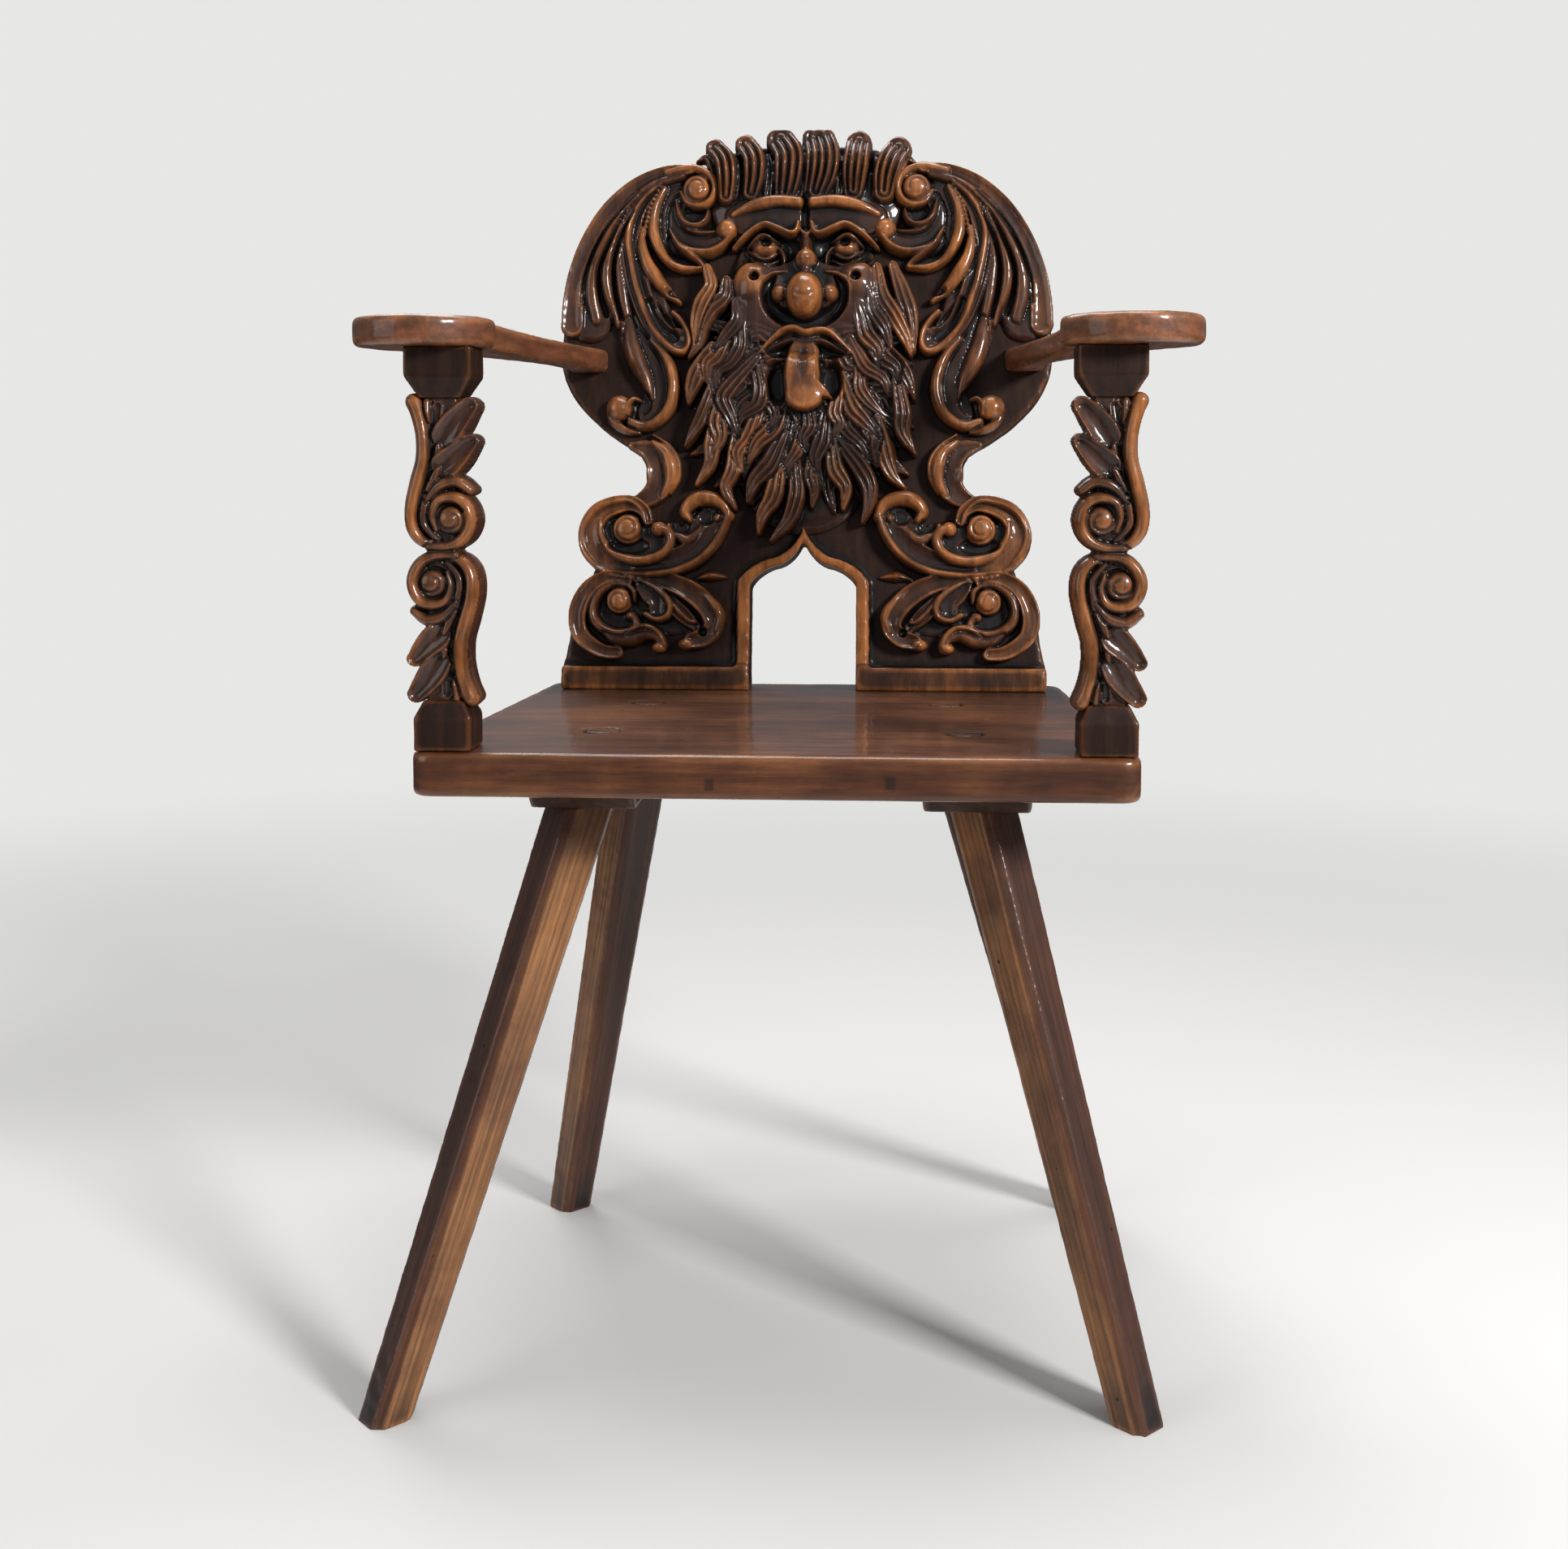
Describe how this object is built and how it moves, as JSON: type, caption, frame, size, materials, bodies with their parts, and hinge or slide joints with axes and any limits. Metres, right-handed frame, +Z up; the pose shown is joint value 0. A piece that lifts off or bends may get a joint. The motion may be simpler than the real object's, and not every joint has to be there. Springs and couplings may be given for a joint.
{
  "type": "carved plank armchair",
  "caption": "Plank armchair with splayed legs, carved posts under disc-ended arms and a raked back carved with a bearded mask, leaves and scrolls over a keel arch.",
  "frame": {"origin": "middle of the chair's bounding box, on the floor", "axes": "+Z up, -Y towards the front of the seat, +X to the right as seen from the front"},
  "size_m": [0.6, 0.5398, 0.967],
  "materials": {
    "carved_walnut": "waxed dark walnut, worn amber on the ridges",
    "seat_walnut": "waxed red-brown plank, worn along its front edge",
    "arm_walnut": "hand-polished, lighter along the edges",
    "leg_walnut": "dull brown with pale worn arrises and darker feet",
    "batten_wood": "plain dark wood under the seat",
    "wedge_wood": "end grain, darkened"
  },
  "bodies": {
    "root": {"arm_left": "arm_walnut", "arm_post_left": "carved_walnut", "arm_post_right": "carved_walnut", "arm_right": "arm_walnut", "arm_wedge_left": "wedge_wood", "arm_wedge_right": "wedge_wood", "back_plank": "carved_walnut", "back_wedge_left": "wedge_wood", "back_wedge_right": "wedge_wood", "batten_left": "batten_wood", "batten_right": "batten_wood", "carved_head": "carved_walnut", "carved_leaf_left": "carved_walnut", "carved_leaf_right": "carved_walnut", "carved_scrolls_left": "carved_walnut", "carved_scrolls_right": "carved_walnut", "carved_waist_left": "carved_walnut", "carved_waist_right": "carved_walnut", "leg_front_left": "leg_walnut", "leg_front_right": "leg_walnut", "leg_rear_left": "leg_walnut", "leg_rear_right": "leg_walnut", "leg_wedge_front_left": "wedge_wood", "leg_wedge_front_right": "wedge_wood", "leg_wedge_rear_left": "wedge_wood", "leg_wedge_rear_right": "wedge_wood", "post_wedge_left": "wedge_wood", "post_wedge_right": "wedge_wood", "seat_plank": "seat_walnut"}
  },
  "joints": []
}
